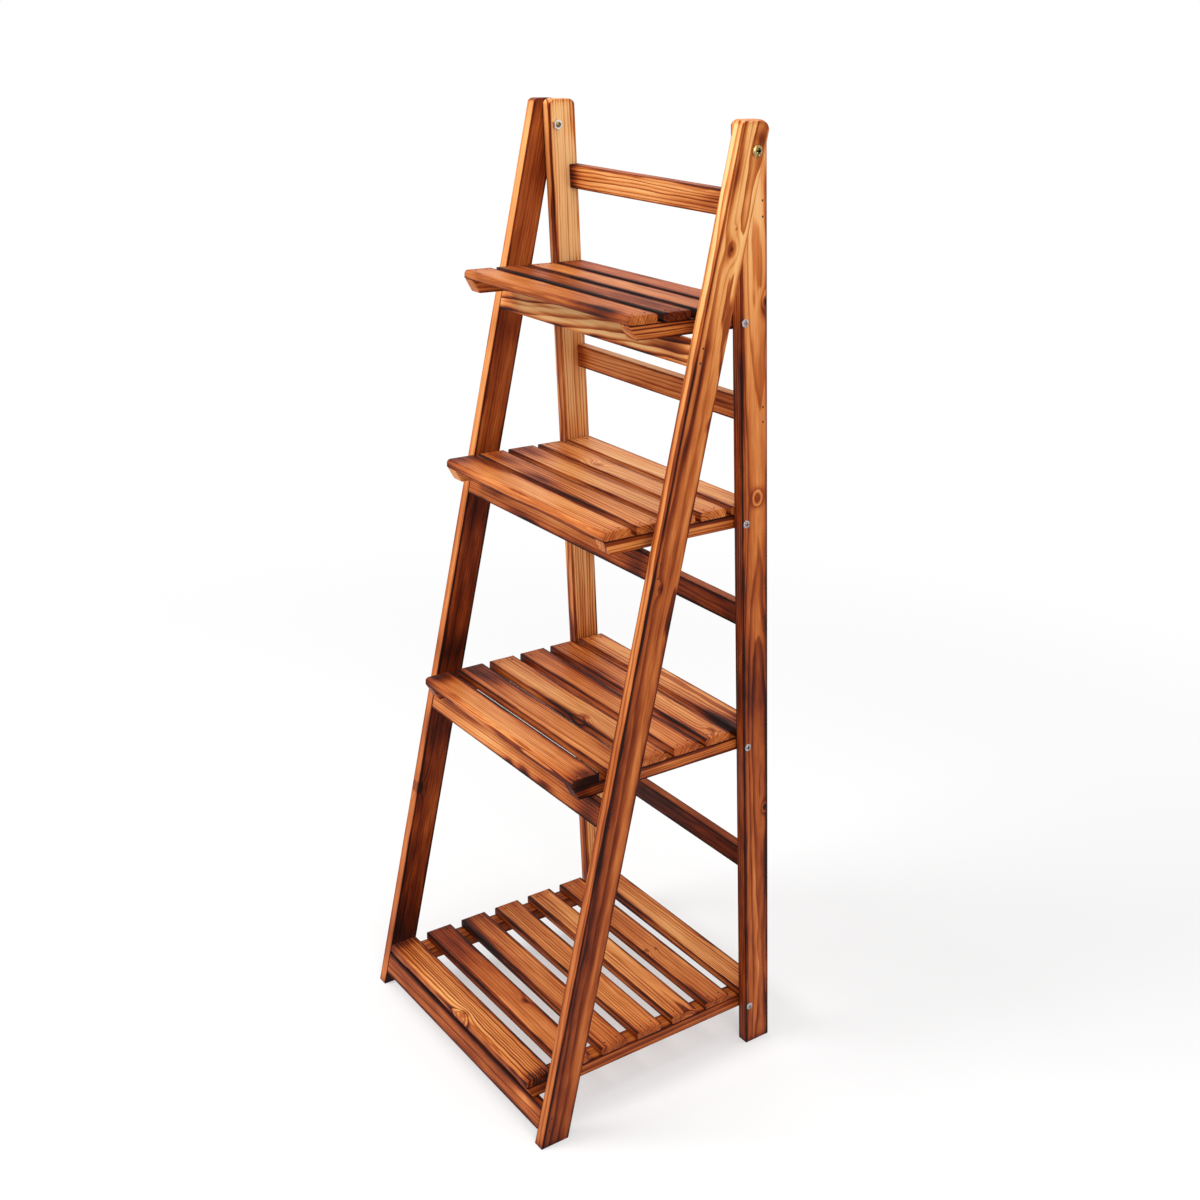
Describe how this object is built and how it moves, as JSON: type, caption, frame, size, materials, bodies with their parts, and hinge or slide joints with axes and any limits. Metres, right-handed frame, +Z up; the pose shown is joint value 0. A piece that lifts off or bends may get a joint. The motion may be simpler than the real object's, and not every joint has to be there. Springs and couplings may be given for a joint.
{
  "type": "folding ladder plant stand",
  "caption": "Folding ladder-shaped plant stand in flame-darkened softwood, with slatted shelves that deepen towards the floor and lie on the front frame's rungs.",
  "frame": {"origin": "on the floor, in the middle of the opened stand's width and depth", "axes": "+X to the viewer's right, +Y to the back, +Z up"},
  "size_m": [0.3872, 0.3415, 1.09],
  "materials": {
    "leg_wood": "flame-darkened softwood under satin lacquer",
    "bar_wood": "flame-darkened softwood under satin lacquer",
    "slat_wood": "flame-darkened softwood under satin lacquer, scorched along the edges",
    "batten_wood": "flame-darkened softwood under satin lacquer",
    "screw_steel": "bright zinc-plated steel",
    "bolt_steel": "bright yellow-passivated steel"
  },
  "bodies": {
    "rear_frame": {"rear_leg_left": "leg_wood", "rear_leg_right": "leg_wood", "rear_rail_1": "bar_wood", "rear_rail_2": "bar_wood", "rear_rail_3": "bar_wood", "rear_rail_4": "bar_wood", "pivot_bolt_left": "bolt_steel", "pivot_washer_left": "bolt_steel", "pivot_nut_left": "bolt_steel", "shelf_1_screw_left": "screw_steel", "shelf_2_screw_left": "screw_steel", "shelf_3_screw_left": "screw_steel", "shelf_4_screw_left": "screw_steel", "pivot_bolt_right": "bolt_steel", "pivot_washer_right": "bolt_steel", "pivot_nut_right": "bolt_steel", "shelf_1_screw_right": "screw_steel", "shelf_2_screw_right": "screw_steel", "shelf_3_screw_right": "screw_steel", "shelf_4_screw_right": "screw_steel"},
    "front_frame": {"front_leg_left": "leg_wood", "front_leg_right": "leg_wood", "front_rung_1": "bar_wood", "front_rung_2": "bar_wood", "front_rung_3": "bar_wood", "front_rung_4": "bar_wood"},
    "shelf_1": {"shelf_1_slat_1": "slat_wood", "shelf_1_slat_2": "slat_wood", "shelf_1_slat_3": "slat_wood", "shelf_1_slat_4": "slat_wood", "shelf_1_batten_left": "batten_wood", "shelf_1_batten_right": "batten_wood"},
    "shelf_2": {"shelf_2_slat_1": "slat_wood", "shelf_2_slat_2": "slat_wood", "shelf_2_slat_3": "slat_wood", "shelf_2_slat_4": "slat_wood", "shelf_2_slat_5": "slat_wood", "shelf_2_batten_left": "batten_wood", "shelf_2_batten_right": "batten_wood"},
    "shelf_3": {"shelf_3_slat_1": "slat_wood", "shelf_3_slat_2": "slat_wood", "shelf_3_slat_3": "slat_wood", "shelf_3_slat_4": "slat_wood", "shelf_3_slat_5": "slat_wood", "shelf_3_slat_6": "slat_wood", "shelf_3_batten_left": "batten_wood", "shelf_3_batten_right": "batten_wood"},
    "shelf_4": {"shelf_4_slat_1": "slat_wood", "shelf_4_slat_2": "slat_wood", "shelf_4_slat_3": "slat_wood", "shelf_4_slat_4": "slat_wood", "shelf_4_slat_5": "slat_wood", "shelf_4_slat_6": "slat_wood", "shelf_4_slat_7": "slat_wood", "shelf_4_batten_left": "batten_wood", "shelf_4_batten_right": "batten_wood"}
  },
  "joints": [
    {"name": "front_frame_fold", "type": "hinge", "parent": "rear_frame", "child": "front_frame", "pos_m": [0, 0.06581, 1.062], "axis": [1, 0, 0], "range_deg": [0, 15.5]},
    {"name": "shelf_1_fold", "type": "hinge", "parent": "rear_frame", "child": "shelf_1", "pos_m": [0, 0.07624, 0.89], "axis": [-1, 0, 0], "range_deg": [0, 85.8]},
    {"name": "shelf_2_fold", "type": "hinge", "parent": "rear_frame", "child": "shelf_2", "pos_m": [0, 0.09221, 0.6725], "axis": [-1, 0, 0], "range_deg": [0, 85.8]},
    {"name": "shelf_3_fold", "type": "hinge", "parent": "rear_frame", "child": "shelf_3", "pos_m": [0, 0.11189, 0.4045], "axis": [-1, 0, 0], "range_deg": [0, 85.8]},
    {"name": "shelf_4_fold", "type": "hinge", "parent": "rear_frame", "child": "shelf_4", "pos_m": [0, 0.13778, 0.052], "axis": [-1, 0, 0], "range_deg": [0, 85.8]}
  ]
}
